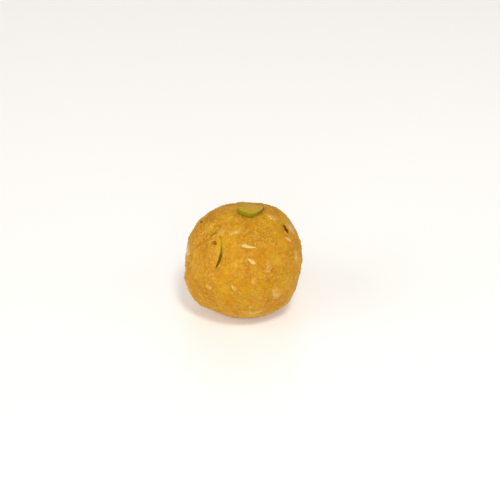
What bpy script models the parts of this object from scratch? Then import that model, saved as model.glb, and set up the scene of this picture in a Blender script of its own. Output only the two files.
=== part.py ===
"""A ladoo: one ball of pressed sweet crumbs with melon seeds and nut slices pressed into its skin.

Metres, +Z up. The origin is the middle of the flat spot that the ball rests on, and the side with the
long pistachio slice faces -Y. Longitude is measured from -Y towards +X, and latitude up from the ball's
widest level. The toppings are fused to the ball, so one solid is left at the end.
"""

import math
import random
from collections import namedtuple

import bmesh
import bpy
from mathutils import Matrix, Vector, noise

MM = 0.001

# Driving dimensions of the ball
BALL_RADIUS = 22.05 * MM
SEAT_DEPTH = 18.7 * MM
SEAT_ROUNDING = 2.2 * MM
BALL_CENTRE = Vector((0.22 * MM, -0.12 * MM, SEAT_DEPTH))
FACE_CUTS = 25

# The flat face under the ball: its corners, their distance from its middle, and how high its sides start
SEAT_CORNERS = 4
SEAT_REACH = 9 * MM
SEAT_MIDDLE = Vector((0.7 * MM, 0.4 * MM, 0))
SEAT_SIDES_TOP = 0.3 * MM

# Relief of the skin: height, and the waves of noise that cross one radius
UNEVENNESS = (0.25 * MM, 1.9)
LUMPS = (0.30 * MM, 4.6)
CRAGS = (0.16 * MM, 9.5)

# Where the palms and its own weight swelled or dented it: longitude, latitude, height, spread in degrees
SWELLINGS = (
    (-69, -29, 1.95 * MM, 22),
    (-50, -47, -0.45 * MM, 18),
    (20, -62, -0.30 * MM, 22),
    (92, 26, -0.10 * MM, 24),
    (78, -18, -0.75 * MM, 18),
    (64, -34, 1.15 * MM, 25),
    (175, 57, -0.35 * MM, 20),
    (124, 41, 1.45 * MM, 28),
    (-120, 38, 0.65 * MM, 28),
    (-150, -24, 0.70 * MM, 30),
    (150, -22, 0.60 * MM, 30),
)

# Kinds of topping, with their thickness and how far the middle of one stands above the skin by rule
SEED, PISTACHIO, ALMOND = "melon_seed", "pistachio", "almond"
THICKNESS = {SEED: 1.2 * MM, PISTACHIO: 2.2 * MM, ALMOND: 1.1 * MM}
USUAL_LIFT = {SEED: -0.22 * MM, PISTACHIO: -0.65 * MM, ALMOND: -0.10 * MM}

# One topping: its place and its turn from due east in degrees, its size, its own lift if not the usual,
# and how far its middle bows aside, as a share of half its width
Topping = namedtuple("Topping", "kind longitude latitude spin length width lift bow", defaults=(None, 0))

# The toppings on the side towards the viewer, each where it lies
SEEN_TOPPINGS = (
    Topping(PISTACHIO, 99, 83.1, -76, 10.7 * MM, 5.6 * MM, 0.75 * MM, -0.55),
    Topping(PISTACHIO, -39, 36.3, -65, 13.6 * MM, 5.6 * MM, -0.82 * MM, 0.12),
    Topping(ALMOND, 88, 40, 62, 5.2 * MM, 3.2 * MM),
    Topping(SEED, 8, 46, -12, 6.4 * MM, 1.6 * MM),
    Topping(SEED, 1, 47.6, 10, 2.3 * MM, 1.6 * MM),
    Topping(SEED, 9, 32, 138, 3.9 * MM, 2.0 * MM),
    Topping(SEED, -16, 60, 20, 3.6 * MM, 2.2 * MM),
    Topping(SEED, -42, 56, 50, 3.8 * MM, 2.4 * MM),
    Topping(SEED, 83, 63, 86, 5.2 * MM, 3.0 * MM),
    Topping(SEED, 68, 38, 125, 3.8 * MM, 1.6 * MM),
    Topping(SEED, 26, 25, 80, 4.6 * MM, 2.3 * MM),
    Topping(SEED, 32, -4, 125, 6.2 * MM, 3.4 * MM),
    Topping(SEED, -82, 18, 157, 6.4 * MM, 3.4 * MM),
    Topping(SEED, 11, -29, 6, 5.8 * MM, 2.8 * MM),
    Topping(SEED, 68, 20, 58, 4.4 * MM, 2.3 * MM),
    Topping(SEED, -9, 6, 130, 3.0 * MM, 1.8 * MM),
    Topping(SEED, -36, 0, 172, 2.8 * MM, 1.6 * MM),
    Topping(SEED, 10, 13, 105, 2.8 * MM, 1.7 * MM),
)

# The rest of the ball is dressed by a rule: points spread evenly, then moved a little
SEEN_FROM = (0, 33)
SEEN_ANGLE = math.radians(84)
LOWEST_LATITUDE = -38
SCATTER_POINTS = 40
SCATTER_SEED = 7
SCATTER_SHIFT = 6
ROOM_BETWEEN = 0.8 * MM
GOLDEN_ANGLE = 180 * (3 - math.sqrt(5))
PISTACHIO_SHARE = 0.14
ALMOND_SHARE = 0.08
SCATTER_PISTACHIO = (9.6 * MM, 4.8 * MM)
SCATTER_ALMOND = (6.4 * MM, 2.8 * MM)
SEED_LENGTHS = (4.2 * MM, 7.6 * MM)
SEED_WIDTH_SHARE = 0.52

# Outlines of the toppings: sides, and how much a shape narrows
SEED_SEGMENTS = 8
SEED_RINGS = 5
SEED_TAPER = 0.7
PISTACHIO_SIDES = 16
PISTACHIO_POINTED = 0.22
PISTACHIO_TAPER = 0.46
ALMOND_SIDES = 6
SLICE_BEVEL = 0.06

CRUMB_COLOUR = (0.62, 0.31, 0.04)
CRUMB_ROUGHNESS = 0.38
SHARP_EDGE = math.radians(35)


def direction(longitude, latitude):
    """Unit vector from the ball's centre, from degrees."""
    east, up = math.radians(longitude), math.radians(latitude)
    return Vector((math.cos(up) * math.sin(east), -math.cos(up) * math.cos(east), math.sin(up)))


def skin_radius(way):
    """How far the skin lies from the centre along the unit vector way, with the seat pressed flat."""
    radius = BALL_RADIUS
    for longitude, latitude, height, spread in SWELLINGS:
        turn = way.angle(direction(longitude, latitude)) / math.radians(spread)
        radius += height * math.exp(-turn * turn)
    for height, waves in (UNEVENNESS, LUMPS, CRAGS):
        radius += height * noise.noise(way * waves)
    if way.z >= 0:
        return radius
    to_seat = SEAT_DEPTH / -way.z
    overlap = max(SEAT_ROUNDING - abs(radius - to_seat), 0) / SEAT_ROUNDING
    return min(radius, to_seat) - overlap * overlap * SEAT_ROUNDING / 4


def gap(first, second):
    """Clear way along the skin between two toppings, taken as discs."""
    angle = direction(first.longitude, first.latitude).angle(direction(second.longitude, second.latitude))
    return angle * BALL_RADIUS - (first.length + second.length) / 2


def scattered_toppings():
    """Toppings for the sides that the seen ones leave bare: mostly seeds, with a slice now and then."""
    draw = random.Random(SCATTER_SEED)
    found = []
    for number in range(SCATTER_POINTS):
        latitude = math.degrees(math.asin(1 - (2 * number + 1) / SCATTER_POINTS))
        latitude += draw.uniform(-SCATTER_SHIFT, SCATTER_SHIFT)
        longitude = number * GOLDEN_ANGLE + draw.uniform(-SCATTER_SHIFT, SCATTER_SHIFT)
        place = (longitude, latitude, draw.uniform(0, 180))
        share = draw.random()
        length = draw.uniform(*SEED_LENGTHS)
        if share < PISTACHIO_SHARE:
            made = Topping(PISTACHIO, *place, *SCATTER_PISTACHIO)
        elif share < PISTACHIO_SHARE + ALMOND_SHARE:
            made = Topping(ALMOND, *place, *SCATTER_ALMOND)
        else:
            made = Topping(SEED, *place, length, length * SEED_WIDTH_SHARE)
        unseen = direction(longitude, latitude).angle(direction(*SEEN_FROM)) > SEEN_ANGLE
        clear = all(gap(made, other) > ROOM_BETWEEN for other in (*SEEN_TOPPINGS, *found))
        if unseen and clear and latitude > LOWEST_LATITUDE:
            found.append(made)
    return found


def collection_named(name):
    made = bpy.data.collections.new(name)
    bpy.context.scene.collection.children.link(made)
    return made


def object_from(shape, name, collection):
    """Makes an object from a bmesh and frees the bmesh."""
    mesh = bpy.data.meshes.new(name)
    shape.to_mesh(mesh)
    shape.free()
    made = bpy.data.objects.new(name, mesh)
    collection.objects.link(made)
    return made


def flatten_seat(shape):
    """Cuts the ball off just over the floor and closes it with one flat face, so that it can't rock."""
    everything = [*shape.verts, *shape.edges, *shape.faces]
    cut_at = Vector((0, 0, SEAT_SIDES_TOP - SEAT_DEPTH))
    down = Vector((0, 0, -1))
    cut = bmesh.ops.bisect_plane(shape, geom=everything, plane_co=cut_at, plane_no=down, clear_outer=True)
    rim = [piece for piece in cut["geom_cut"] if isinstance(piece, bmesh.types.BMEdge)]
    floor = Matrix.Translation(SEAT_MIDDLE - BALL_CENTRE)
    corners = bmesh.ops.create_circle(
        shape, cap_ends=True, segments=SEAT_CORNERS, radius=SEAT_REACH, matrix=floor
    )["verts"]
    sides = {edge for corner in corners for edge in corner.link_edges}
    bmesh.ops.bridge_loops(shape, edges=[*rim, *sides])
    bmesh.ops.recalc_face_normals(shape, faces=shape.faces)


def make_ball(collection):
    """A finely cut cube blown up to the ball's skin, so that its faces are of one size all over."""
    shape = bmesh.new()
    bmesh.ops.create_cube(shape, size=2)
    bmesh.ops.subdivide_edges(shape, edges=shape.edges, cuts=FACE_CUTS, use_grid_fill=True)
    for vertex in shape.verts:
        way = Vector([math.tan(side * math.pi / 4) for side in vertex.co]).normalized()
        vertex.co = way * skin_radius(way)
    flatten_seat(shape)
    bmesh.ops.triangulate(shape, faces=shape.faces)
    ball = object_from(shape, "ladoo", collection)
    ball.location = BALL_CENTRE
    return ball


def seed_shape():
    """A melon seed of unit size: a flattened egg, with its narrow end at +X."""
    shape = bmesh.new()
    bmesh.ops.create_uvsphere(shape, u_segments=SEED_SEGMENTS, v_segments=SEED_RINGS, radius=0.5)
    for vertex in shape.verts:
        vertex.co.y *= 1 - SEED_TAPER * vertex.co.x
    return shape


def slice_shape(sides, pointed, taper, bow):
    """A flat slice of unit size, a little narrower at its outer face and at its +X end.

    pointed draws both its ends in, and bow moves its middle aside, which makes it a half moon.
    """
    shape = bmesh.new()
    outer = 0.5 - SLICE_BEVEL
    bmesh.ops.create_cone(
        shape, cap_ends=True, cap_tris=True, segments=sides, radius1=0.5, radius2=outer, depth=1
    )
    for vertex in shape.verts:
        along = 2 * vertex.co.x
        vertex.co.y *= (1 - pointed * along**2) * (1 - taper * along)
        vertex.co.y += bow / 2 * (1 - along**2)
    return shape


def shape_of(topping):
    if topping.kind == SEED:
        return seed_shape()
    if topping.kind == PISTACHIO:
        return slice_shape(PISTACHIO_SIDES, PISTACHIO_POINTED, PISTACHIO_TAPER, topping.bow)
    return slice_shape(ALMOND_SIDES, 0, 0, topping.bow)


def make_topping(number, topping, collection):
    """One seed or slice in its place, bent to follow the ball."""
    shape = shape_of(topping)
    size = (topping.length, topping.width, THICKNESS[topping.kind])
    bmesh.ops.scale(shape, vec=size, verts=shape.verts)
    for vertex in shape.verts:
        reach = vertex.co.x**2 + vertex.co.y**2
        vertex.co.z -= reach / (2 * BALL_RADIUS)
    made = object_from(shape, f"{topping.kind}_{number}", collection)
    way = direction(topping.longitude, topping.latitude)
    east = direction(topping.longitude + 90, 0)
    frame = Matrix((east, way.cross(east), way)).transposed()
    turn = Matrix.Rotation(math.radians(topping.spin), 3, "Z")
    lift = USUAL_LIFT[topping.kind] if topping.lift is None else topping.lift
    place = BALL_CENTRE + way * (skin_radius(way) + lift)
    made.matrix_world = Matrix.Translation(place) @ (frame @ turn).to_4x4()


def fuse(ball, toppings):
    """Joins the toppings to the ball in one union, and removes them."""
    join = ball.modifiers.new("Join toppings", "BOOLEAN")
    join.operation = "UNION"
    join.operand_type = "COLLECTION"
    join.collection = toppings
    join.solver = "EXACT"
    bpy.context.view_layer.objects.active = ball
    bpy.ops.object.modifier_apply(modifier=join.name)
    for topping in list(toppings.objects):
        bpy.data.objects.remove(topping)
    bpy.data.collections.remove(toppings)


def give_material(ball):
    """Golden crumbs, a little shiny with ghee."""
    made = bpy.data.materials.new("Pressed crumbs")
    made.use_nodes = True
    shader = made.node_tree.nodes["Principled BSDF"]
    shader.inputs["Base Color"].default_value = (*CRUMB_COLOUR, 1)
    shader.inputs["Roughness"].default_value = CRUMB_ROUGHNESS
    ball.data.materials.clear()
    ball.data.materials.append(made)
    ball.data.shade_smooth()
    ball.data.set_sharp_from_angle(angle=SHARP_EDGE)


def main():
    for old in list(bpy.data.objects):
        bpy.data.objects.remove(old)
    ball = make_ball(collection_named("Ladoo"))
    toppings = collection_named("Toppings")
    for number, topping in enumerate((*SEEN_TOPPINGS, *scattered_toppings())):
        make_topping(number, topping, toppings)
    fuse(ball, toppings)
    give_material(ball)


main()
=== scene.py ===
"""Looks of the ladoo: pressed crumbs with a sheen of ghee, and the seeds and nut slices in its skin.

Metres, in the part's frame. Longitude is measured from -Y towards +X, and latitude up from the ball's
widest level, both in degrees. The mass follows the solid's skin, with the grain of the crumbs added.
"""

import math
import random
from collections import namedtuple

import bmesh
import bpy
import numpy as np
from mathutils import Matrix, Vector, kdtree, noise


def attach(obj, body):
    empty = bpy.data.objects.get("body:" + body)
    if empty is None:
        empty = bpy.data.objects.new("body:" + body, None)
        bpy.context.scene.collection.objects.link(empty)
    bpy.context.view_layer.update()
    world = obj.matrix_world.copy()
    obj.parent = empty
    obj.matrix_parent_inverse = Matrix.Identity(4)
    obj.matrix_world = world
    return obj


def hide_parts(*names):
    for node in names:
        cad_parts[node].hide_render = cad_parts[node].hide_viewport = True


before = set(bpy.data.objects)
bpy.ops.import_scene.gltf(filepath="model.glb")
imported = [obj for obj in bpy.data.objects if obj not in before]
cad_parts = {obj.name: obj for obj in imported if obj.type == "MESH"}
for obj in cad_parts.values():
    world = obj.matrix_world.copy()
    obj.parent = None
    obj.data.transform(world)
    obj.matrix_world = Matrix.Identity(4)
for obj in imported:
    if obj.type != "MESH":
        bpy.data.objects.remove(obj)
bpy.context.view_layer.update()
BODY = "root"
NODE = "ladoo"
MM = 0.001
GOLDEN_ANGLE = 180 * (3 - math.sqrt(5))

# The ball's shape, as in the solid
BALL_RADIUS = 22.05 * MM
SEAT_DEPTH = 18.7 * MM
SEAT_ROUNDING = 2.2 * MM
BALL_CENTRE = Vector((0.22 * MM, -0.12 * MM, SEAT_DEPTH))

# Height and waves of its unevenness
UNEVENNESS = (0.25 * MM, 1.9)
LUMPS = (0.30 * MM, 4.6)
CRAGS = (0.16 * MM, 9.5)

# Its swellings and dents: longitude, latitude, height and spread in degrees
SWELLINGS = (
    (-69, -29, 1.95 * MM, 22),
    (-50, -47, -0.45 * MM, 18),
    (20, -62, -0.30 * MM, 22),
    (92, 26, -0.10 * MM, 24),
    (78, -18, -0.75 * MM, 18),
    (64, -34, 1.15 * MM, 25),
    (175, 57, -0.35 * MM, 20),
    (124, 41, 1.45 * MM, 28),
    (-120, 38, 0.65 * MM, 28),
    (-150, -24, 0.70 * MM, 30),
    (150, -22, 0.60 * MM, 30),
)

# Kinds of topping, how thick they are and how far their middle lies above the skin
SEED, PISTACHIO, ALMOND = "melon_seed", "pistachio", "almond"
THICKNESS = {SEED: 1.2 * MM, PISTACHIO: 2.2 * MM, ALMOND: 1.1 * MM}
USUAL_LIFT = {SEED: -0.22 * MM, PISTACHIO: -0.65 * MM, ALMOND: -0.10 * MM}

# Crumbs cover the face and one side of a slice with more film than this
SUNK = 0.8

# Toppings that show. film is how much crumbs cover one. Two seeds are narrower here than in the solid
FIELDS = "kind longitude latitude spin length width film lift bow"
Topping = namedtuple("Topping", FIELDS, defaults=(None, 0))
SEEN_TOPPINGS = (
    Topping(PISTACHIO, 99, 83.1, -76, 10.7 * MM, 5.6 * MM, 0.15, 0.75 * MM, -0.55),
    Topping(PISTACHIO, -39, 36.3, -65, 13.6 * MM, 5.6 * MM, 1.2, -0.82 * MM, 0.12),
    Topping(ALMOND, 88, 40, 62, 5.2 * MM, 3.2 * MM, 0.6),
    Topping(SEED, 8, 46, -12, 6.4 * MM, 1.1 * MM, 0.2),
    Topping(SEED, 1, 47.6, 10, 2.3 * MM, 1.6 * MM, 0.0),
    Topping(SEED, 9, 32, 138, 3.9 * MM, 1.6 * MM, 0.3),
    Topping(SEED, -16, 60, 20, 3.6 * MM, 2.2 * MM, 0.7),
    Topping(SEED, -42, 56, 50, 3.8 * MM, 2.4 * MM, 0.85),
    Topping(SEED, 83, 63, 86, 5.2 * MM, 3.0 * MM, 0.7),
    Topping(SEED, 68, 38, 125, 3.8 * MM, 1.6 * MM, 0.5),
    Topping(SEED, 26, 25, 80, 4.6 * MM, 2.3 * MM, 0.8),
    Topping(SEED, 32, -4, 125, 6.2 * MM, 3.4 * MM, 0.8),
    Topping(SEED, -82, 18, 157, 6.4 * MM, 3.4 * MM, 0.6),
    Topping(SEED, 11, -29, 6, 5.8 * MM, 2.8 * MM, 0.62),
    Topping(SEED, 68, 20, 58, 4.4 * MM, 2.3 * MM, 0.7),
    Topping(SEED, -9, 6, 130, 3.0 * MM, 1.8 * MM, 0.6),
    Topping(SEED, -36, 0, 172, 2.8 * MM, 1.6 * MM, 0.6),
    Topping(SEED, 10, 13, 105, 2.8 * MM, 1.7 * MM, 0.8),
)

# Toppings of the other sides, by the solid's rule
SEEN_FROM = (0, 33)
SEEN_ANGLE = math.radians(84)
LOWEST_LATITUDE = -38
SCATTER_POINTS = 40
SCATTER_SEED = 7
SCATTER_SHIFT = 6
ROOM_BETWEEN = 0.8 * MM
PISTACHIO_SHARE = 0.14
ALMOND_SHARE = 0.08
SCATTER_PISTACHIO = (9.6 * MM, 4.8 * MM)
SCATTER_ALMOND = (6.4 * MM, 2.8 * MM)
SEED_LENGTHS = (4.2 * MM, 7.6 * MM)
SEED_WIDTH_SHARE = 0.52
SCATTER_FILM = {SEED: (0.3, 0.8), PISTACHIO: (0.2, 0.5), ALMOND: (0.1, 0.4)}

# Unevenness of a small piece: its height, its waves, and how far apart the pieces take theirs
Wave = namedtuple("Wave", "height waves apart")

# Melon seeds: mesh fineness, taper, and how soft the edge is, from 0 for a slab to 1 for a ball
SEED_MESH = (36, 18)
SEED_TAPER = 0.7
SEED_SOFTNESS = 0.6
SEED_WAVE = Wave(0.14, 1.6, 3.7)

# Cut kernels: how pointed both ends are, how much one end narrows, and how soft the edge is
Cut = namedtuple("Cut", "kind piece pointed taper softness")
PISTACHIO_CUT = Cut(PISTACHIO, "pistachio_slices", 0.22, 0.46, 0.22)
ALMOND_CUT = Cut(ALMOND, "almond_slivers", 0.1, 0.0, 0.3)
CUT_MESH = (72, 36)
CUT_WAVE = Wave(0.05, 1.8, 2.3)
CUT_DISH = Wave(0.10, 2, 5.1)
LEAST_CUT_WIDTH = 0.3

# Where a cut kernel's side begins, on its outline and on its face, and where the side darkens: painted
# shade at its foot, brown towards its narrow end
RIM_OUTLINE = (0.82, 0.94)
RIM_FACE = (1.0, 0.82)
SIDE_FOOT_SHADE = (0.3, -0.9)
SIDE_FOOT_SHADE_SHARE = 0.9
BROWN_END = (0.0, 0.8)

# Film of crumbs and ghee over the toppings: its patches, its edge on a seed, and how it lies on a side
FILM_WAVES = 900
FILM_PATCHES = (0.55, 0.9)
SEED_FILM_EDGE = (0.05 * MM, 0.36 * MM)
SIDE_FILM = 0.25
SUNK_SIDE_FILM = 0.75
SUNK_SIDE_FADE = (0.2, -0.6)

# Dark bits: longitude, latitude, spin, length, width, and colour from black 0 by maroon 0.5 to red 1
SPECKS = (
    (82.3, 46.7, 126, 1.9 * MM, 2.3 * MM, 0.5),
    (79.3, 43.8, 126, 2.1 * MM, 2.3 * MM, 0.5),
    (-42, 44.0, 178, 2.0 * MM, 1.2 * MM, 1.0),
    (-99, 44, 20, 1.0 * MM, 0.7 * MM, 0.0),
    (150, 20, 60, 1.7 * MM, 1.0 * MM, 0.5),
    (-135, 8, 100, 0.9 * MM, 0.7 * MM, 0.0),
    (172, 58, 30, 1.0 * MM, 0.8 * MM, 1.0),
    (118, -14, 10, 0.8 * MM, 0.6 * MM, 0.0),
)
SPECK_THICKNESS = 0.35 * MM
SPECK_LIFT = 0.04 * MM
SPECK_MESH = (20, 12)
SPECK_WAVE = Wave(0.5, 1.7, 4.1)

# How crumbs creep over a topping and pale near it. Reach is 0 at its middle and 1 on its outline
CREEP = (1.45, 0.8)
CREEP_RAGGED = 0.4
BARE_SIDE = (0.08, 0.28)
PALE_REACH = (1.30, 0.45)
PALE_RAGGED = 0.8
PALE_BY_FILM = (0.35, 0.65)
# Painted shade on the crumbs round a pistachio slice that stands proud
SLICE_SHADE_REACH = (1.7, 1.0)
PRESSED = (0.6, 0.3 * MM)
RAGGED = ((1.0, 13), (0.6, 31))
LEAST_WIDTH = 0.2
FAR_OFF = 9.0

# The groove beside a sunk slice, darkened with painted shade: its depth, its edges, and its share of the
# depth along it
GROOVE = 0.34 * MM
GROOVE_INNER = (0.85, 1.0)
GROOVE_OUTER = 1.10
GROOVE_SOFTNESS = 0.1
BULGE, BULGE_MIDDLE, BULGE_WIDTH = 0.34, 0.22, 0.2
SIDE_DEPTH, SIDE_DEEPENS = 0.6, 1.8
SIDE_DEPTHS = (0.15, 1.2)
SIDE_END = (0.50, 0.42)
BLUNT_END = (-0.28, -0.42)
BLUNT_END_DEPTH = 0.7

# The ball's colour darkens towards its foot: painted shade where it meets the floor
FOOT_HEIGHT = 4.5 * MM
FOOT_SHADE = 1.8

# Grain of the crumbs: cells pressed together, with creases between them, whose colour gets painted shade
FACE_CUTS = 126
GRAIN_SPACING = 1.05 * MM
GRAIN_SEED = 11
POINT_SHIFT = 0.42
GRAIN_HEIGHT = 0.14 * MM
GRAIN_MIDDLE = 0.7
GRAIN_STEP = 0.06 * MM
GRAIN_TILT = 0.10
CREASE_WIDTH = 0.36 * MM
CLUMP_SPACING = 3.6 * MM
CLUMP_HEIGHT = 0.16 * MM
CLUMP_MIDDLE = 0.8
CLUMP_CREASE = 1.0 * MM
CLUMP_LEAST = 0.4
TONE_SHARES = (0.7, 0.3)
WARP = (0.4 * MM, 16)
WARP_SEED = 11
FINE = (0.035 * MM, 46)
PIT_SHARE = 0.04
PIT_DEPTH = 0.20 * MM

# Where the grain is pressed smooth: waves of the noise, its range, the least grain, and more above
SMOOTH_WAVES = 2.3
SMOOTH_SHIFT = Vector((7, 3, 5))
SMOOTH_RANGE = (-0.30, 0.35)
LEAST_GRAIN = 0.25
UPPER_GRAIN = 0.30

# Crumbs that stand proud of the mass, and how much of their half height lies under the skin
CRUMB_SEED = 5
CRUMB_SPACING = 3.4 * MM
CRUMB_SIZES = (0.7 * MM, 1.5 * MM)
CRUMB_SUNK = (0.65, 1.0)
CRUMB_LOWEST = -0.72
CRUMB_MESH = (12, 8)
CRUMB_WAVE = Wave(0.45, 1.3, 2.9)

# Colours of the crumbs
GOLD = (0.580, 0.277, 0.007)
YELLOW = (0.620, 0.337, 0.013)
ORANGE = (0.530, 0.217, 0.004)
# Painted shade for the creases, the ball's foot and the crumbs round slices that stand proud
PAINTED_SHADE_COLOUR = (0.400, 0.140, 0.002)
CREAM = (0.720, 0.420, 0.090)
# Painted shade in the groove beside a sunk slice
GROOVE_SHADE_COLOUR = (0.150, 0.085, 0.001)
LINE_SHADE = (0.84, 0.77, 0.32)
GOLD_SHARE = 0.4
PALER_SHARE = 0.34
BITS_SHARE = 0.40

# Colours of the toppings, two for each face and each side
SEED_FACE = ((0.86, 0.57, 0.20), (0.74, 0.43, 0.11))
PISTACHIO_FACE = ((0.55, 0.31, 0.020), (0.42, 0.27, 0.018))
PISTACHIO_SIDE = ((0.230, 0.215, 0.003), (0.170, 0.100, 0.001))
ALMOND_FACE = ((0.84, 0.56, 0.26), (0.74, 0.44, 0.16))
ALMOND_SIDE = ((0.42, 0.12, 0.02), (0.42, 0.12, 0.02))
NEAR_BLACK = (0.05, 0.02, 0.002)
MAROON = (0.19, 0.024, 0.001)
BRICK_RED = (0.30, 0.075, 0.006)

# Patterns: a noise over the object's metres, whose part from low to high is spread over least to most
Pattern = namedtuple("Pattern", "scale detail roughness low high least most", defaults=(0.0, 1.0))
PATCHES = Pattern(150, 3, 0.5, 0.38, 0.62)
BLOTS = Pattern(420, 2, 0.5, 0.36, 0.64, 0.94, 1.06)
FLECKS = Pattern(1500, 2, 0.6, 0.35, 0.65, 0.98, 1.02)
BRIGHT_SPOTS = Pattern(620, 1, 0.5, 0.60, 0.72, 0.0, 0.55)
FLAKES = Pattern(1150, 3, 0.6, 0.55, 0.70, 0.0, 0.26)
LOOSE = Pattern(110, 2, 0.5, 0.42, 0.60, 0.25, 1.0)
GHEE_SPOTS = Pattern(700, 3, 0.5, 0.53, 0.63, 0.0, 0.6)
TORN = Pattern(1300, 3, 0.6, 0.3, 0.7, -0.45, 0.45)
KERNEL_SPOTS = Pattern(700, 3, 0.5, 0.35, 0.65)
SKIN_FLECKS = Pattern(1500, 2, 0.5, 0.3, 0.7, 0.75, 1.35)
SEED_CLOUDS = (500, 2)
FLOUR_SCALE = 1500.0
FLOUR_TONES = (0.96, 1.04)
ARCS = (380, 3.8)
ARCS_FADE = (16 * MM, 36 * MM, 0.35, 1.0)
BITS_SCALE = 230.0
BITS_EDGE = (0.09, 0.16)
BITS_WARP_SCALE = 900.0
BITS_WARP = 0.0012

# Ranges of the values that a mesh carries, and what they are spread over
TONE_RANGE = (-1, 1, 0.95, 1.05)
PAINTED_SHADE_RANGE = (0, 2, 0.0, 0.9)
PALE_RANGE = (0, 1, 0.0, 0.42)
GROOVE_SHADE_RANGE = (0.15, 0.8, 0.0, 0.9)
FILM_RANGE = (0.25, 0.85)
PISTACHIO_RIM = (0.1, 0.6)
ALMOND_RIM = (0.1, 1.3)
MAROON_RANGE = (0, 0.5)
RED_RANGE = (0.5, 1)

# Bumps too fine for the mesh: scale, detail and roughness of the noise, its depth and its strength
Bump = namedtuple("Bump", "scale detail roughness depth strength")
CRUMB_BUMP = Bump(1500, 4, 0.65, 0.06 * MM, 0.7)
GHEE_BUMP = Bump(1100, 2, 0.5, 0.05 * MM, 0.6)
SEED_BUMP = Bump(1300, 2, 0.5, 0.06 * MM, 0.6)
CUT_BUMP = Bump(1500, 4, 0.5, 0.10 * MM, 0.7)
ARCS_BUMP = (0.05 * MM, 0.5)

# Finishes: roughness, the ghee's weight and roughness, and how much light goes under the surface
Finish = namedtuple("Finish", "roughness coat coat_roughness subsurface")
CRUMB_FINISH = Finish(0.5, 0.3, 0.09, 0.28)
SEED_FINISH = Finish(0.3, 0.8, 0.07, 0.3)
CUT_FINISH = Finish(0.4, 0.12, 0.12, 0.1)
SPECK_FINISH = Finish(0.5, 0.0, 0.2, 0.0)
GHEE_IOR = 1.46
SPECULAR = 0.06
SHEEN = 0.07
SHEEN_COLOUR = (1.0, 0.75, 0.30)
SUBSURFACE_RADIUS = (1.0, 0.55, 0.18)
SUBSURFACE_SCALE = 1.0 * MM

# Inputs and output of a mix of vectors, and of a mix of colours
VECTOR_MIX = (4, 5, 1)
COLOUR_MIX = (6, 7, 2)

# Camera and floor
AIM_OFFSET = (2.25 * MM, 3.98 * MM)
CAMERA_ELEVATION = math.radians(33)
CAMERA_DISTANCE = 0.5
CAMERA_LENS = 95
NEAREST_SEEN = 0.01
FLOOR_RADIUS = 4
FLOOR_SIDES = 96
FLOOR_COLOUR = (0.775, 0.77, 0.755)
FLOOR_ROUGHNESS = 0.25
FLOOR_GLOW = (1.0, 0.93, 0.83)
FLOOR_GLOW_STRENGTH = 0.24

# Lamps: name, way from the ball, distance, size and power
LAMPS = (
    ("key", (0.17, -0.42, 0.89), 0.9, 0.20, 3.8),
    ("front", (0.0, -0.88, 0.47), 1.4, 1.3, 3.9),
    ("low", (0.0, -0.97, 0.22), 1.4, 1.0, 3.6),
    ("left", (-0.88, -0.26, 0.40), 1.4, 1.2, 9.0),
    ("right", (0.88, -0.25, 0.40), 1.4, 1.2, 3.6),
    ("back", (0.1, 0.75, 0.66), 1.4, 1.4, 3.6),
)
WORLD_COLOUR = (1.0, 0.97, 0.93)
WORLD_STRENGTH = 0.23


def direction(longitude, latitude):
    """Unit vector from the ball's centre, from degrees."""
    east, up = math.radians(longitude), math.radians(latitude)
    return Vector((math.cos(up) * math.sin(east), -math.cos(up) * math.cos(east), math.sin(up)))


def spiral_latitude(number, count):
    """Latitude of a point of an even spiral over the ball."""
    return math.degrees(math.asin(1 - (2 * number + 1) / count))


SWELLING_WAYS = [(direction(*swelling[:2]), *swelling[2:]) for swelling in SWELLINGS]


def skin_radius(way):
    """How far the skin lies from the centre along the unit vector way, with the seat pressed flat."""
    radius = BALL_RADIUS
    for middle, height, spread in SWELLING_WAYS:
        turn = way.angle(middle) / math.radians(spread)
        radius += height * math.exp(-turn * turn)
    for height, waves in (UNEVENNESS, LUMPS, CRAGS):
        radius += height * noise.noise(way * waves)
    return pressed_flat(radius, way)


def pressed_flat(radius, way):
    """The radius with the seat's flat spot taken off, its edge rounded."""
    if way.z >= 0:
        return radius
    to_seat = SEAT_DEPTH / -way.z
    overlap = max(SEAT_ROUNDING - abs(radius - to_seat), 0) / SEAT_ROUNDING
    return min(radius, to_seat) - overlap * overlap * SEAT_ROUNDING / 4


def smooth_step(low, high, value):
    """0 up to low and 1 from high on, with a smooth rise between. low may be the greater one."""
    share = np.clip((value - low) / (high - low), 0, 1)
    return share * share * (3 - 2 * share)


def gap(first, second):
    """Clear way along the skin between two toppings, taken as discs."""
    angle = direction(first.longitude, first.latitude).angle(direction(second.longitude, second.latitude))
    return angle * BALL_RADIUS - (first.length + second.length) / 2


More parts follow.
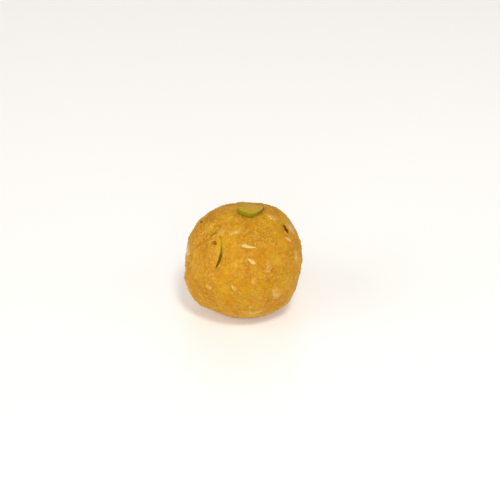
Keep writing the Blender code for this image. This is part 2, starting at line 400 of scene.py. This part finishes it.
def scattered_toppings():
    """The toppings of the sides that the seen ones leave bare, by the solid's rule."""
    draw = random.Random(SCATTER_SEED)
    film = random.Random(SCATTER_SEED + 1)
    found = []
    for number in range(SCATTER_POINTS):
        latitude = spiral_latitude(number, SCATTER_POINTS) + draw.uniform(-SCATTER_SHIFT, SCATTER_SHIFT)
        longitude = number * GOLDEN_ANGLE + draw.uniform(-SCATTER_SHIFT, SCATTER_SHIFT)
        spin = draw.uniform(0, 180)
        share = draw.random()
        length = draw.uniform(*SEED_LENGTHS)
        kind, size = SEED, (length, length * SEED_WIDTH_SHARE)
        if share < PISTACHIO_SHARE:
            kind, size = PISTACHIO, SCATTER_PISTACHIO
        elif share < PISTACHIO_SHARE + ALMOND_SHARE:
            kind, size = ALMOND, SCATTER_ALMOND
        made = Topping(kind, longitude, latitude, spin, *size, film.uniform(*SCATTER_FILM[kind]))
        unseen = direction(longitude, latitude).angle(direction(*SEEN_FROM)) > SEEN_ANGLE
        clear = all(gap(made, other) > ROOM_BETWEEN for other in (*SEEN_TOPPINGS, *found))
        if unseen and clear and latitude > LOWEST_LATITUDE:
            found.append(made)
    return found


TOPPINGS = (*SEEN_TOPPINGS, *scattered_toppings())


def tangents(longitude, latitude, spin):
    """Matrix whose columns are along, across and outwards, at a place on the ball."""
    way = direction(longitude, latitude)
    east = direction(longitude + 90, 0)
    frame_here = Matrix((east, way.cross(east), way)).transposed()
    return frame_here @ Matrix.Rotation(math.radians(spin), 3, "Z")


def lift_of(topping):
    """How far a topping's middle lies above the skin."""
    return USUAL_LIFT[topping.kind] if topping.lift is None else topping.lift


def is_sunk(topping):
    """Whether crumbs cover a slice's face and one of its sides."""
    return topping.kind == PISTACHIO and topping.film > SUNK


def even_points(spacing, seed):
    """Points spread evenly over a unit sphere, each moved a little."""
    draw = random.Random(seed)
    count = round(4 * math.pi * (BALL_RADIUS / spacing) ** 2)
    shift = POINT_SHIFT * spacing / BALL_RADIUS
    points = []
    for number in range(count):
        point = direction(number * GOLDEN_ANGLE, spiral_latitude(number, count))
        point += Vector([draw.uniform(-shift, shift) for _ in range(3)])
        points.append(point.normalized())
    return points


def cells(ways, spacing, seed):
    """Each way's cell, its offset from the cell's point, its distance to the border, and the count."""
    points = even_points(spacing, seed)
    tree = kdtree.KDTree(len(points))
    for number, point in enumerate(points):
        tree.insert(point, number)
    tree.balance()
    nearest = np.empty(len(ways), int)
    border = np.empty(len(ways))
    for row, way in enumerate(ways):
        (_, nearest[row], near), (_, _, far) = tree.find_n(way, 2)
        border[row] = (far - near) * BALL_RADIUS
    offset = (np.array(ways) - np.array(points)[nearest]) * BALL_RADIUS
    return nearest, offset, border, len(points)


def warped(way):
    """The way moved a little, so that the cells get uneven borders."""
    size, waves = WARP
    return (way + noise.noise_vector(way * waves) * (size / BALL_RADIUS)).normalized()


def place_on_topping(topping, ways):
    """Where each way lies on a topping, along it and across it as arrays: 0.5 away on its outline."""
    along, across, outwards = tangents(topping.longitude, topping.latitude, topping.spin).transposed()
    x = ways @ np.array(along) * BALL_RADIUS / topping.length
    y = ways @ np.array(across) * BALL_RADIUS / topping.width
    if topping.kind == SEED:
        y = y / np.maximum(1 - SEED_TAPER * x, LEAST_WIDTH)
    if topping.kind == PISTACHIO:
        y = y - topping.bow / 2 * (1 - 4 * x * x)
        ends = (1 - PISTACHIO_CUT.pointed * 4 * x * x) * (1 - PISTACHIO_CUT.taper * 2 * x)
        y = y / np.maximum(ends, LEAST_WIDTH)
    behind = ways @ np.array(outwards) < 0
    return np.where(behind, FAR_OFF, x), np.where(behind, FAR_OFF, y)


def groove_beside(x, reach, bare):
    """How deep the groove of a sunk slice is: along its bare side, and round its blunt end."""
    outer = GROOVE_OUTER + BULGE * np.exp(-(((x - BULGE_MIDDLE) / BULGE_WIDTH) ** 2))
    beside = smooth_step(*GROOVE_INNER, reach)
    beside = beside * smooth_step(outer + GROOVE_SOFTNESS, outer - GROOVE_SOFTNESS, reach)
    side = bare * np.clip(SIDE_DEPTH + SIDE_DEEPENS * x, *SIDE_DEPTHS) * smooth_step(*SIDE_END, x)
    blunt_end = BLUNT_END_DEPTH * smooth_step(*BLUNT_END, x)
    return beside * np.maximum(side, blunt_end)


def cover_of_toppings(ways, rough):
    """The crumbs' height over the toppings, and the paleness, groove and painted shade round them."""
    height, pale, groove, shade = (np.zeros(len(ways)) for _ in range(4))
    least_pale, more_pale = PALE_BY_FILM
    for topping in TOPPINGS:
        x, y = place_on_topping(topping, ways)
        reach = 2 * np.hypot(x, y)
        over = smooth_step(*CREEP, reach + CREEP_RAGGED * rough)
        bare = smooth_step(*BARE_SIDE, y)
        if topping.kind == PISTACHIO:
            over = over * (1 - bare)
        if is_sunk(topping):
            groove = np.maximum(groove, groove_beside(x, reach, bare))
        elif topping.kind == PISTACHIO:
            # Painted shade round a slice that stands proud
            shade = np.maximum(shade, smooth_step(*SLICE_SHADE_REACH, reach))
        else:
            halo = smooth_step(*PALE_REACH, reach + PALE_RAGGED * rough)
            pale = np.maximum(pale, halo * (least_pale + more_pale * topping.film))
        top = THICKNESS[topping.kind] / 2 + lift_of(topping)
        height = np.maximum(height, over * max(top, 0) * topping.film)
    return height, pale, groove, shade


def cube_ball(cuts):
    """A finely cut cube blown up to a unit sphere, as a bmesh and the list of its ways."""
    shape = bmesh.new()
    bmesh.ops.create_cube(shape, size=2)
    bmesh.ops.subdivide_edges(shape, edges=shape.edges, cuts=cuts, use_grid_fill=True)
    ways = []
    for vertex in shape.verts:
        ways.append(Vector([math.tan(side * math.pi / 4) for side in vertex.co]).normalized())
    return shape, ways


def object_from(shape, name, material):
    """Makes a smooth object from a bmesh and frees the bmesh."""
    mesh = bpy.data.meshes.new(name)
    shape.to_mesh(mesh)
    shape.free()
    mesh.shade_smooth()
    mesh.materials.append(material)
    made = bpy.data.objects.new(name, mesh)
    bpy.context.scene.collection.objects.link(made)
    return made


def give_values(made, name, values):
    """Stores one number for each vertex, for the material to read."""
    layer = made.data.attributes.new(name, "FLOAT", "POINT")
    layer.data.foreach_set("value", np.asarray(values, np.float32))


def looseness(ways):
    """How much the grain stands out at each way, from LEAST_GRAIN to 1."""
    loose = [noise.noise(way * SMOOTH_WAVES + SMOOTH_SHIFT) + UPPER_GRAIN * way.z for way in ways]
    return LEAST_GRAIN + (1 - LEAST_GRAIN) * smooth_step(*SMOOTH_RANGE, np.array(loose))


def relief(ways):
    """For each way, the height of the crumbs' grain, its tone from -1 to 1 and the painted shade of its
    creases from 0 to 1.
    """
    noise.seed_set(WARP_SEED)
    moved = [warped(way) for way in ways]
    grain, offset, grain_border, grains = cells(moved, GRAIN_SPACING, GRAIN_SEED)
    clump, _, clump_border, clumps = cells(moved, CLUMP_SPACING, GRAIN_SEED + 1)
    draw = np.random.default_rng(GRAIN_SEED)
    of_grain, of_clump = TONE_SHARES
    tone = draw.uniform(-1, 1, grains)[grain] * of_grain + draw.uniform(-1, 1, clumps)[clump] * of_clump
    step = draw.uniform(-1, 1, grains)
    pit = draw.random(grains) < PIT_SHARE
    tilt = np.sum(draw.normal(0, GRAIN_TILT, (grains, 3))[grain] * offset, axis=1)
    loose = looseness(ways)
    height, waves = FINE
    fine = np.array([noise.noise(way * waves) for way in ways])
    rise = smooth_step(0, CREASE_WIDTH, grain_border)
    clump_rise = smooth_step(0, CLUMP_CREASE, clump_border)
    high = GRAIN_HEIGHT * (rise - GRAIN_MIDDLE)
    high = high + (GRAIN_STEP * step[grain] - PIT_DEPTH * pit[grain] + tilt) * rise
    of_clumps = CLUMP_HEIGHT * (clump_rise - CLUMP_MIDDLE) * (CLUMP_LEAST + (1 - CLUMP_LEAST) * loose)
    return high * loose + of_clumps + height * fine, tone, (1 - rise) * loose


def make_mass(material):
    """The ball of crumbs, with its grain as real relief."""
    shape, ways = cube_ball(FACE_CUTS)
    high, tone, painted_shade = relief(ways)
    ragged = [sum(share * noise.noise(way * waves) for share, waves in RAGGED) for way in ways]
    cover, pale, groove, shade = cover_of_toppings(np.array(ways), np.array(ragged))
    smoother, from_cover = PRESSED
    high = high * (1 - smoother * np.clip(cover / from_cover, 0, 1)) + cover - GROOVE * groove
    for vertex, way, more in zip(shape.verts, ways, high):
        to_seat = SEAT_DEPTH / -way.z if way.z < 0 else math.inf
        vertex.co = BALL_CENTRE + way * min(skin_radius(way) + more, to_seat)
    above_floor = np.array([vertex.co.z for vertex in shape.verts])
    # Painted shade, darkest at the floor
    foot = FOOT_SHADE * smooth_step(FOOT_HEIGHT, 0, above_floor)
    made = object_from(shape, "ladoo_mass", material)
    give_values(made, "tone", tone)
    # Painted shade in the creases, towards the floor and round slices that stand proud
    give_values(made, "painted_shade", np.maximum(painted_shade, foot) + shade)
    give_values(made, "groove", groove)
    give_values(made, "pale", pale)
    return made


def place_on_skin(shape, longitude, latitude, spin, lift):
    """Bends a flat shape to the ball and moves it to its place."""
    way = direction(longitude, latitude)
    turn = tangents(longitude, latitude, spin)
    place = BALL_CENTRE + way * (skin_radius(way) + lift)
    for vertex in shape.verts:
        point = vertex.co.copy()
        point.z -= (point.x**2 + point.y**2) / (2 * BALL_RADIUS)
        vertex.co = place + turn @ point


def unit_ball(segments, rings):
    """A ball of radius 1, as a bmesh."""
    shape = bmesh.new()
    bmesh.ops.create_uvsphere(shape, u_segments=segments, v_segments=rings, radius=1)
    return shape


def uneven(point, wave, number):
    """A factor near 1 for a point of a piece, with its own noise for each number."""
    return 1 + wave.height * noise.noise(point * wave.waves + Vector((number * wave.apart, 0, 0)))


def flattened(height, softness):
    """A height on a unit ball moved out, so that the ball gets flat faces and a steep rim."""
    return math.copysign(abs(height) ** softness, height)


def seed_shape(topping, number):
    """A melon seed: a flat egg with a softly uneven skin."""
    shape = unit_ball(*SEED_MESH)
    size = Vector((topping.length, topping.width, THICKNESS[SEED])) / 2
    for vertex in shape.verts:
        point = vertex.co
        wave = uneven(point, SEED_WAVE, number)
        point.y *= 1 - SEED_TAPER * point.x / 2
        point.z = flattened(point.z, SEED_SOFTNESS)
        vertex.co = point * size * wave
    return shape


def cut_shape(topping, number, cut):
    """A slice or sliver of a kernel, with rounded edges."""
    shape = unit_ball(*CUT_MESH)
    size = Vector((topping.length, topping.width, THICKNESS[topping.kind])) / 2
    for vertex in shape.verts:
        point = vertex.co
        flat = math.hypot(point.x, point.y)
        spread = flat**cut.softness / flat if flat > 1e-6 else 0
        x, y = point.x * spread, point.y * spread
        z = flattened(point.z, cut.softness)
        wave = 1 + CUT_WAVE.height * noise.noise(Vector((x, y, number * CUT_WAVE.apart)) * CUT_WAVE.waves)
        y = y * (1 - cut.pointed * x * x) * (1 - cut.taper * x) + topping.bow * (1 - x * x)
        spot = Vector((x * CUT_DISH.waves, y * CUT_DISH.waves, number * CUT_DISH.apart))
        dish = CUT_DISH.height * (1 - x * x) * noise.noise(spot)
        vertex.co = Vector((x * size.x * wave, y * size.y * wave, (z + dish) * size.z))
    return shape


def joined(parts, name, material):
    """One object from several bmeshes, with the given values of each vertex."""
    whole = bmesh.new()
    values = {}
    for shape, layers in parts:
        mesh = bpy.data.meshes.new("part")
        shape.to_mesh(mesh)
        shape.free()
        whole.from_mesh(mesh)
        bpy.data.meshes.remove(mesh)
        for key, numbers in layers.items():
            values.setdefault(key, []).extend(numbers)
    made = object_from(whole, name, material)
    for key, numbers in values.items():
        give_values(made, key, numbers)
    return made


def height_over_skin(shape):
    """How far each vertex stands over the ball's skin."""
    heights = []
    for vertex in shape.verts:
        out = vertex.co - BALL_CENTRE
        heights.append(out.length - skin_radius(out.normalized()))
    return heights


def film_patch(point, number):
    """The film's patches at a point, from 0 to 1, different for each topping."""
    return 0.5 + 0.5 * noise.noise(point * FILM_WAVES + Vector((number, 0, 0)))


def face_film(topping, patch):
    """How much film a topping has on top, where the patches have the given value."""
    least, more = FILM_PATCHES
    return topping.film * (least + more * patch)


def seed_film(shape, topping, number):
    """How much the crumbs' film hides each vertex of a seed: whole at the skin, less at its top."""
    values = []
    for vertex, height in zip(shape.verts, height_over_skin(shape)):
        edge = 1 - smooth_step(*SEED_FILM_EDGE, height)
        values.append(min(max(edge, face_film(topping, film_patch(vertex.co, number))), 1))
    return values


def cut_film(shape, topping, number, rim, along):
    """How much the film hides each vertex of a cut kernel: a sunk one shows one side, towards +X."""
    across = tangents(topping.longitude, topping.latitude, topping.spin).col[1]
    middle = direction(topping.longitude, topping.latitude) * BALL_RADIUS + BALL_CENTRE
    values = []
    for vertex, side, x in zip(shape.verts, rim, along):
        patch = film_patch(vertex.co, number)
        on_side = SIDE_FILM * patch
        if is_sunk(topping):
            hidden = (vertex.co - middle).dot(across) < 0
            on_side = 1.0 if hidden else SUNK_SIDE_FILM * smooth_step(*SUNK_SIDE_FADE, x)
        values.append(min(face_film(topping, patch), 1) * (1 - side) + side * on_side)
    return values


def rim_share(point, size, cut, bow):
    """Whether a point of a cut kernel lies on its flat face, 0, or on its side, 1."""
    x = point.x / size.x
    y = point.y / size.y - bow * (1 - x * x)
    y /= max((1 - cut.pointed * x * x) * (1 - cut.taper * x), LEAST_CUT_WIDTH)
    outside = smooth_step(*RIM_OUTLINE, math.hypot(x, y))
    return float(outside * smooth_step(*RIM_FACE, abs(point.z) / size.z))


def side_shade_and_brown(point, size):
    """How dark a cut kernel's side is: painted shade at its foot, and brown towards its narrow end."""
    foot = smooth_step(*SIDE_FOOT_SHADE, point.z / size.z)
    end = smooth_step(*BROWN_END, point.x / size.x)
    return float(min(SIDE_FOOT_SHADE_SHARE * foot + end, 1))


def make_seeds(material):
    """All melon seeds, as one piece."""
    parts = []
    for number, topping in enumerate(TOPPINGS):
        if topping.kind == SEED:
            shape = seed_shape(topping, number)
            place_on_skin(shape, topping.longitude, topping.latitude, topping.spin, lift_of(topping))
            parts.append((shape, {"film": seed_film(shape, topping, number)}))
    return joined(parts, "melon_seeds", material)


def make_cuts(cut, material):
    """All cut kernels of one kind, as one piece."""
    parts = []
    for number, topping in enumerate(TOPPINGS):
        if topping.kind != cut.kind:
            continue
        shape = cut_shape(topping, number, cut)
        size = Vector((topping.length, topping.width, THICKNESS[cut.kind])) / 2
        rim = [rim_share(vertex.co, size, cut, topping.bow) for vertex in shape.verts]
        dark = [side_shade_and_brown(vertex.co, size) for vertex in shape.verts]
        along = [vertex.co.x / size.x for vertex in shape.verts]
        place_on_skin(shape, topping.longitude, topping.latitude, topping.spin, lift_of(topping))
        film = cut_film(shape, topping, number, rim, along)
        parts.append((shape, {"rim": rim, "dark": dark, "film": film}))
    return joined(parts, cut.piece, material)


def crumb_shape(way, number, size, sunk, turn):
    """One grain, set into the skin along way."""
    shape = unit_ball(*CRUMB_MESH)
    upright = way.to_track_quat("Z", "Y").to_matrix()
    place = BALL_CENTRE + way * (skin_radius(way) - sunk)
    for vertex in shape.verts:
        point = vertex.co * size * uneven(vertex.co, CRUMB_WAVE, number)
        vertex.co = place + turn @ (upright @ point)
    return shape


def make_crumbs(material):
    """Single grains that stand a little proud of the mass, as one piece."""
    draw = random.Random(CRUMB_SEED)
    parts = []
    for number, way in enumerate(even_points(CRUMB_SPACING, CRUMB_SEED)):
        size = Vector([draw.uniform(*CRUMB_SIZES) / 2 for _ in range(3)])
        sunk = draw.uniform(*CRUMB_SUNK) * size.z
        turn = Matrix.Rotation(draw.uniform(0, math.tau), 3, way)
        values = {"tone": draw.uniform(-1, 1), "painted_shade": 0.0, "pale": 0.0, "groove": 0.0}
        if way.z >= CRUMB_LOWEST:
            shape = crumb_shape(way, number, size, sunk, turn)
            count = len(shape.verts)
            parts.append((shape, {name: [value] * count for name, value in values.items()}))
    return joined(parts, "raised_crumbs", material)


def speck_lift(longitude, latitude):
    """How far a speck lies above the skin: on top of the crumbs over a topping, where there is one."""
    cover = cover_of_toppings(np.array([direction(longitude, latitude)]), np.zeros(1))[0]
    return SPECK_LIFT + float(cover[0])


def make_specks(material):
    """Bits of nut skin and dark crumbs, each a small uneven flake, as one piece."""
    parts = []
    for number, (longitude, latitude, spin, length, width, red) in enumerate(SPECKS):
        shape = unit_ball(*SPECK_MESH)
        size = Vector((length, width, SPECK_THICKNESS)) / 2
        for vertex in shape.verts:
            vertex.co = vertex.co * uneven(vertex.co, SPECK_WAVE, number) * size
        place_on_skin(shape, longitude, latitude, spin, speck_lift(longitude, latitude))
        parts.append((shape, {"red": [red] * len(shape.verts)}))
    return joined(parts, "specks", material)


def new_material(name):
    """A material and its node tree."""
    made = bpy.data.materials.new(name)
    made.use_nodes = True
    return made, made.node_tree


def feed(tree, socket, value):
    """Gives a socket its value: another socket, a colour or a number."""
    if isinstance(value, bpy.types.NodeSocket):
        tree.links.new(value, socket)
    elif isinstance(value, tuple):
        socket.default_value = (*value, 1)
    else:
        socket.default_value = value


def node(tree, kind, **values):
    """A shader node with the given properties and inputs."""
    made = tree.nodes.new(kind)
    for key, value in values.items():
        if hasattr(made, key):
            setattr(made, key, value)
        else:
            made.inputs[key.replace("_", " ")].default_value = value
    return made


def own_metres(tree):
    """The place on the object, in metres."""
    return node(tree, "ShaderNodeTexCoord").outputs["Object"]


def noise_of(tree, scale, detail, roughness=0.5):
    """Noise over the object's own metres."""
    made = node(tree, "ShaderNodeTexNoise", Scale=scale, Detail=detail, Roughness=roughness)
    tree.links.new(own_metres(tree), made.inputs["Vector"])
    return made.outputs["Fac"]


def ramp_of(tree, value, low, high, least=0.0, most=1.0):
    """The value's range from low to high, spread over least to most and clamped."""
    made = node(tree, "ShaderNodeMapRange")
    for socket, number in (("From Min", low), ("From Max", high), ("To Min", least), ("To Max", most)):
        made.inputs[socket].default_value = number
    tree.links.new(value, made.inputs["Value"])
    return made.outputs["Result"]


def pattern_of(tree, pattern):
    """A pattern's value from its least to its most."""
    value = noise_of(tree, pattern.scale, pattern.detail, pattern.roughness)
    return ramp_of(tree, value, pattern.low, pattern.high, pattern.least, pattern.most)


def computed(tree, operation, *values):
    """The result of a sum, a product or a sine. Each value is a number or a socket."""
    made = node(tree, "ShaderNodeMath", operation=operation)
    for socket, value in zip(made.inputs, values):
        feed(tree, socket, value)
    return made.outputs[0]


def mixed(tree, share, first, second, blend="MIX"):
    """A mix of two colours, each a triple or a socket; share is a number or a socket."""
    made = node(tree, "ShaderNodeMix", data_type="RGBA", blend_type=blend)
    first_input, second_input, output = COLOUR_MIX
    feed(tree, made.inputs[0], share)
    feed(tree, made.inputs[first_input], first)
    feed(tree, made.inputs[second_input], second)
    return made.outputs[output]


def shaded(tree, colour, factor):
    """The colour times a factor."""
    return mixed(tree, 1.0, colour, factor, "MULTIPLY")


def attribute_of(tree, name):
    """A value that the mesh carries at each vertex."""
    return node(tree, "ShaderNodeAttribute", attribute_name=name).outputs["Fac"]


def bump_of(tree, height, distance, strength, below=None):
    """The normal of a bumpy surface, over another one where below is given."""
    made = node(tree, "ShaderNodeBump", Strength=strength, Distance=distance)
    tree.links.new(height, made.inputs["Height"])
    if below is not None:
        tree.links.new(below, made.inputs["Normal"])
    return made.outputs["Normal"]


def noise_bump(tree, bump):
    """The normal of a surface with fine noise on it."""
    height = noise_of(tree, bump.scale, bump.detail, bump.roughness)
    return bump_of(tree, height, bump.depth, bump.strength)


def flour(tree):
    """Small cells within the grains, each with a colour of its own: the ground flour itself."""
    made = node(tree, "ShaderNodeTexVoronoi", Scale=FLOUR_SCALE)
    tree.links.new(own_metres(tree), made.inputs["Vector"])
    return made.outputs["Color"]


def fine_arcs(tree):
    """Short nested arcs between the crumbs: the level lines of a noise, from 0 to 1."""
    scale, count = ARCS
    levels = computed(tree, "MULTIPLY", noise_of(tree, scale, 2), count * math.tau)
    return ramp_of(tree, computed(tree, "SINE", levels), -1, 1)


def height_of(tree):
    """The height above the floor."""
    parts = node(tree, "ShaderNodeSeparateXYZ")
    tree.links.new(own_metres(tree), parts.inputs[0])
    return parts.outputs["Z"]


def pale_bits(tree):
    """Scattered bits of ground nut, each about a millimetre across, from 0 to 1."""
    place = own_metres(tree)
    warp = node(tree, "ShaderNodeTexNoise", Scale=BITS_WARP_SCALE, Detail=2.0)
    tree.links.new(place, warp.inputs["Vector"])
    first, second, output = VECTOR_MIX
    moved = node(tree, "ShaderNodeMix", data_type="VECTOR")
    moved.inputs[0].default_value = BITS_WARP
    tree.links.new(place, moved.inputs[first])
    tree.links.new(warp.outputs["Color"], moved.inputs[second])
    made = node(tree, "ShaderNodeTexVoronoi", Scale=BITS_SCALE)
    tree.links.new(moved.outputs[output], made.inputs["Vector"])
    return ramp_of(tree, made.outputs["Distance"], *BITS_EDGE, 1.0, 0.0)


def plain_crumbs(tree):
    """The crumbs' golden colour in patches, with spots, flecks and pale flakes."""
    colour = mixed(tree, pattern_of(tree, PATCHES), ORANGE, YELLOW)
    colour = mixed(tree, GOLD_SHARE, colour, GOLD)
    colour = shaded(tree, colour, pattern_of(tree, BLOTS))
    colour = shaded(tree, colour, pattern_of(tree, FLECKS))
    colour = mixed(tree, pattern_of(tree, BRIGHT_SPOTS), colour, YELLOW)
    colour = shaded(tree, colour, ramp_of(tree, flour(tree), 0, 1, *FLOUR_TONES))
    return mixed(tree, pattern_of(tree, FLAKES), colour, CREAM)


def crumb_colour(tree):
    """The colour of the crumbs with the fine arcs between them and bits of ground nut."""
    colour = plain_crumbs(tree)
    deeper = shaded(tree, colour, LINE_SHADE)
    paler = mixed(tree, PALER_SHARE, colour, CREAM)
    lined = mixed(tree, fine_arcs(tree), deeper, paler)
    above = ramp_of(tree, height_of(tree), *ARCS_FADE)
    lines = computed(tree, "MULTIPLY", pattern_of(tree, LOOSE), above)
    colour = mixed(tree, lines, colour, lined)
    bits = mixed(tree, BITS_SHARE, colour, CREAM)
    return mixed(tree, pale_bits(tree), colour, bits)


def shader_of(tree, colour, finish):
    """Sets up the surface shader. What is the same all over is set on its own sockets."""
    shader = tree.nodes["Principled BSDF"]
    tree.links.new(colour, shader.inputs["Base Color"])
    shader.inputs["Roughness"].default_value = finish.roughness
    shader.inputs["Coat Weight"].default_value = finish.coat
    shader.inputs["Coat Roughness"].default_value = finish.coat_roughness
    shader.inputs["Coat IOR"].default_value = GHEE_IOR
    shader.inputs["Specular IOR Level"].default_value = SPECULAR
    shader.inputs["Sheen Weight"].default_value = SHEEN
    shader.inputs["Sheen Tint"].default_value = (*SHEEN_COLOUR, 1)
    shader.inputs["Subsurface Weight"].default_value = finish.subsurface
    shader.inputs["Subsurface Radius"].default_value = SUBSURFACE_RADIUS
    shader.inputs["Subsurface Scale"].default_value = SUBSURFACE_SCALE
    return shader


def mass_material():
    """The crumbs: painted shade in creases and grooves, at the foot and round slices that stand proud,
    paler round seeds, with spots of ghee.
    """
    made, tree = new_material("Pressed crumbs")
    tone = ramp_of(tree, attribute_of(tree, "tone"), *TONE_RANGE)
    colour = shaded(tree, crumb_colour(tree), tone)
    for name, spread, tint in (
        ("painted_shade", PAINTED_SHADE_RANGE, PAINTED_SHADE_COLOUR),
        ("pale", PALE_RANGE, CREAM),
        ("groove", GROOVE_SHADE_RANGE, GROOVE_SHADE_COLOUR),
    ):
        colour = mixed(tree, ramp_of(tree, attribute_of(tree, name), *spread), colour, tint)
    shader = shader_of(tree, colour, CRUMB_FINISH)
    tree.links.new(pattern_of(tree, GHEE_SPOTS), shader.inputs["Coat Weight"])
    grainy = bump_of(tree, fine_arcs(tree), *ARCS_BUMP, noise_bump(tree, CRUMB_BUMP))
    tree.links.new(grainy, shader.inputs["Normal"])
    tree.links.new(noise_bump(tree, GHEE_BUMP), shader.inputs["Coat Normal"])
    return made


def ragged_film(tree):
    """The film of crumbs with a torn edge: each vertex's own share, moved up or down by noise."""
    total = computed(tree, "ADD", attribute_of(tree, "film"), pattern_of(tree, TORN))
    return ramp_of(tree, total, *FILM_RANGE)


def seed_material():
    """Pale melon seed, golden where crumbs and ghee film it."""
    made, tree = new_material("Melon seed")
    kernel = mixed(tree, noise_of(tree, *SEED_CLOUDS), *SEED_FACE)
    colour = mixed(tree, ragged_film(tree), kernel, crumb_colour(tree))
    shader = shader_of(tree, colour, SEED_FINISH)
    tree.links.new(noise_bump(tree, SEED_BUMP), shader.inputs["Normal"])
    return made


def cut_material(name, face, side, rim_range):
    """A cut kernel: its face, the colour of its side, and the film of crumbs over both."""
    made, tree = new_material(name)
    kernel = mixed(tree, pattern_of(tree, KERNEL_SPOTS), *face)
    # The side's dark colour is painted shade at its foot and brown towards its narrow end
    brown = mixed(tree, attribute_of(tree, "dark"), *side)
    colour = mixed(tree, ramp_of(tree, attribute_of(tree, "rim"), *rim_range), kernel, brown)
    colour = mixed(tree, ragged_film(tree), colour, crumb_colour(tree))
    shader = shader_of(tree, colour, CUT_FINISH)
    tree.links.new(noise_bump(tree, CUT_BUMP), shader.inputs["Normal"])
    return made


def speck_material():
    """Nut skin: near black, maroon or brick red."""
    made, tree = new_material("Nut skin")
    red = attribute_of(tree, "red")
    dark = mixed(tree, ramp_of(tree, red, *MAROON_RANGE), NEAR_BLACK, MAROON)
    dark = mixed(tree, ramp_of(tree, red, *RED_RANGE), dark, BRICK_RED)
    shader_of(tree, shaded(tree, dark, pattern_of(tree, SKIN_FLECKS)), SPECK_FINISH)
    return made


def dress_ladoo():
    """Builds every piece and rides it on the body."""
    crumbs = mass_material()
    mass = make_mass(crumbs)
    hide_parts(NODE)
    pistachio = cut_material("Pistachio", PISTACHIO_FACE, PISTACHIO_SIDE, PISTACHIO_RIM)
    almond = cut_material("Almond", ALMOND_FACE, ALMOND_SIDE, ALMOND_RIM)
    pieces = (
        (mass, "ladoo"),
        (make_seeds(seed_material()), "melon_seed"),
        (make_cuts(PISTACHIO_CUT, pistachio), "pistachio"),
        (make_cuts(ALMOND_CUT, almond), "almond"),
        (make_specks(speck_material()), "nut_skin"),
        (make_crumbs(crumbs), "ladoo"),
    )
    for piece, slot in pieces:
        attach(piece, BODY)


def add_floor():
    """A plain pale floor that glows a little, as a lit studio table does."""
    shape = bmesh.new()
    bmesh.ops.create_circle(shape, cap_ends=True, segments=FLOOR_SIDES, radius=FLOOR_RADIUS)
    made, tree = new_material("Floor")
    shader = tree.nodes["Principled BSDF"]
    shader.inputs["Base Color"].default_value = (*FLOOR_COLOUR, 1)
    shader.inputs["Roughness"].default_value = FLOOR_ROUGHNESS
    shader.inputs["Emission Color"].default_value = (*FLOOR_GLOW, 1)
    shader.inputs["Emission Strength"].default_value = FLOOR_GLOW_STRENGTH
    object_from(shape, "floor", made)


def add_softbox(name, way, distance, size, power):
    """A square lamp that faces the ball."""
    lamp = bpy.data.lights.new(name, "AREA")
    lamp.size = size
    lamp.energy = power
    made = bpy.data.objects.new(name, lamp)
    made.location = BALL_CENTRE + Vector(way).normalized() * distance
    made.rotation_euler = (BALL_CENTRE - made.location).to_track_quat("-Z", "Y").to_euler()
    bpy.context.scene.collection.objects.link(made)


def add_light():
    """Soft studio light: six lamps round the ball and an even pale surround."""
    for lamp in LAMPS:
        add_softbox(*lamp)
    world = bpy.data.worlds.new("Studio")
    world.use_nodes = True
    background = world.node_tree.nodes["Background"]
    background.inputs["Color"].default_value = (*WORLD_COLOUR, 1)
    background.inputs["Strength"].default_value = WORLD_STRENGTH
    bpy.context.scene.world = world
    bpy.context.scene.view_settings.view_transform = "Standard"


def add_camera():
    """The camera looks down on the ball's front, which lies a little below and left of the middle."""
    elevation = CAMERA_ELEVATION
    towards = Vector((0, -math.cos(elevation), math.sin(elevation)))
    upwards = Vector((0, math.sin(elevation), math.cos(elevation)))
    target = BALL_CENTRE + Vector((AIM_OFFSET[0], 0, 0)) + upwards * AIM_OFFSET[1]
    lens = bpy.data.cameras.new("camera")
    lens.lens = CAMERA_LENS
    lens.clip_start = NEAREST_SEEN
    made = bpy.data.objects.new("camera", lens)
    made.location = target + towards * CAMERA_DISTANCE
    made.rotation_euler = (-towards).to_track_quat("-Z", "Y").to_euler()
    bpy.context.scene.collection.objects.link(made)
    bpy.context.scene.camera = made


dress_ladoo()
add_floor()
add_light()
add_camera()
